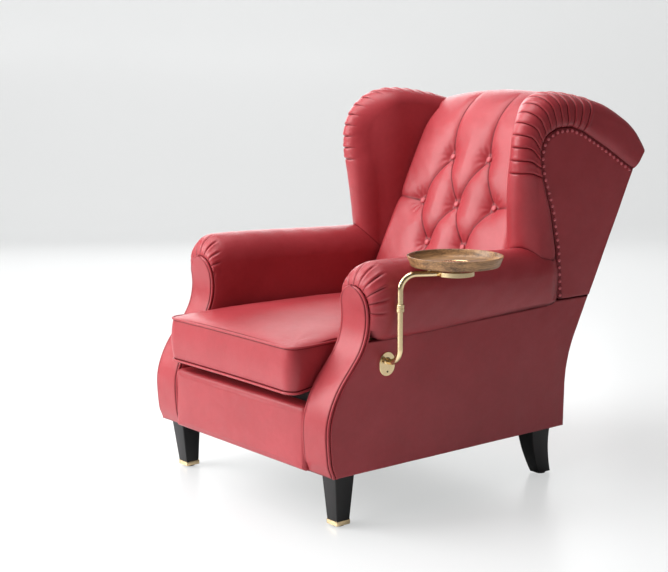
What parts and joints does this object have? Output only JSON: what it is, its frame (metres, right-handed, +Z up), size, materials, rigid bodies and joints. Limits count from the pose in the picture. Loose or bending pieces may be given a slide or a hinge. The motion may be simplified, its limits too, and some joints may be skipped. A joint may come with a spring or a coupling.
{
  "type": "wing club chair",
  "caption": "Wing club chair with rolled arms, a button-tufted inside back, a loose box cushion, tapered legs and a round tray on a swing arm.",
  "frame": {"origin": "on the floor under the middle of the whole object's bounding box, tray and cushion included", "axes": "+Z up, the chair faces -Y, and the tray is on the +X side, the sitter's left"},
  "size_m": [1.05, 1.1868, 1.072],
  "materials": {
    "red_leather": "soft satin leather",
    "black_wood": "black satin lacquer",
    "frame_timber": "plain sawn timber",
    "webbing": "woven jute",
    "dark_cloth": "plain woven cloth",
    "dark_glide": "matt",
    "steel": "zinc plated",
    "brass": "pale satin",
    "walnut": "oiled, satin"
  },
  "bodies": {
    "chair": {"arm_pad_left": "red_leather", "arm_pad_right": "red_leather", "arm_rail_left": "frame_timber", "arm_rail_right": "frame_timber", "back_buttons": "red_leather", "back_leg_left": "black_wood", "back_leg_right": "black_wood", "back_lower_rail": "frame_timber", "back_pad": "red_leather", "back_post_left": "frame_timber", "back_post_right": "frame_timber", "back_top_rail": "frame_timber", "back_webbing": "webbing", "brass_cap_left": "brass", "brass_cap_right": "brass", "corner_blocks": "frame_timber", "dust_cover": "dark_cloth", "facing_piping_left": "red_leather", "facing_piping_right": "red_leather", "front_facing_left": "red_leather", "front_facing_right": "red_leather", "front_leg_left": "black_wood", "front_leg_right": "black_wood", "front_post_left": "frame_timber", "front_post_right": "frame_timber", "front_rail_pad": "red_leather", "front_seat_rail": "frame_timber", "glides": "dark_glide", "leg_bolts": "steel", "lower_tube": "brass", "outside_arm_left": "red_leather", "outside_arm_right": "red_leather", "outside_back": "red_leather", "outside_wing_left": "red_leather", "outside_wing_right": "red_leather", "plate_screws": "brass", "rear_seat_rail": "frame_timber", "seat_deck": "dark_cloth", "seat_webbing": "webbing", "side_rail_left": "frame_timber", "side_rail_right": "frame_timber", "tray_plate": "brass", "tube_collar": "brass", "wing_board_left": "frame_timber", "wing_board_right": "frame_timber", "wing_nails_left": "red_leather", "wing_nails_right": "red_leather", "wing_pad_left": "red_leather", "wing_pad_right": "red_leather"},
    "seat_cushion": {"seat_cushion": "red_leather", "cushion_piping": "red_leather"},
    "tray_arm": {"upper_tube": "brass", "tray_disc": "brass", "tray_hub": "brass"},
    "clamp_screw": {"clamp_screw": "brass"},
    "tray": {"tray": "walnut", "tray_inlay": "brass", "tray_pin": "brass"}
  },
  "joints": [
    {"name": "cushion_slide", "type": "slide", "parent": "chair", "child": "seat_cushion", "axis": [0, -1, 0], "range_m": [0, 0.6]},
    {"name": "tray_swing", "type": "hinge", "parent": "chair", "child": "tray_arm", "pos_m": [0.34231, -0.38136, 0.557], "axis": [0, 0, 1], "range_deg": [-128, 4]},
    {"name": "tray_turn", "type": "hinge", "parent": "tray_arm", "child": "tray", "pos_m": [0.40369, -0.25553, 0.652], "axis": [0, 0, 1], "continuous": true},
    {"name": "clamp_turn", "type": "hinge", "parent": "tray_arm", "child": "clamp_screw", "pos_m": [0.37475, -0.31485, 0.651], "axis": [0, 0, 1], "continuous": true}
  ]
}
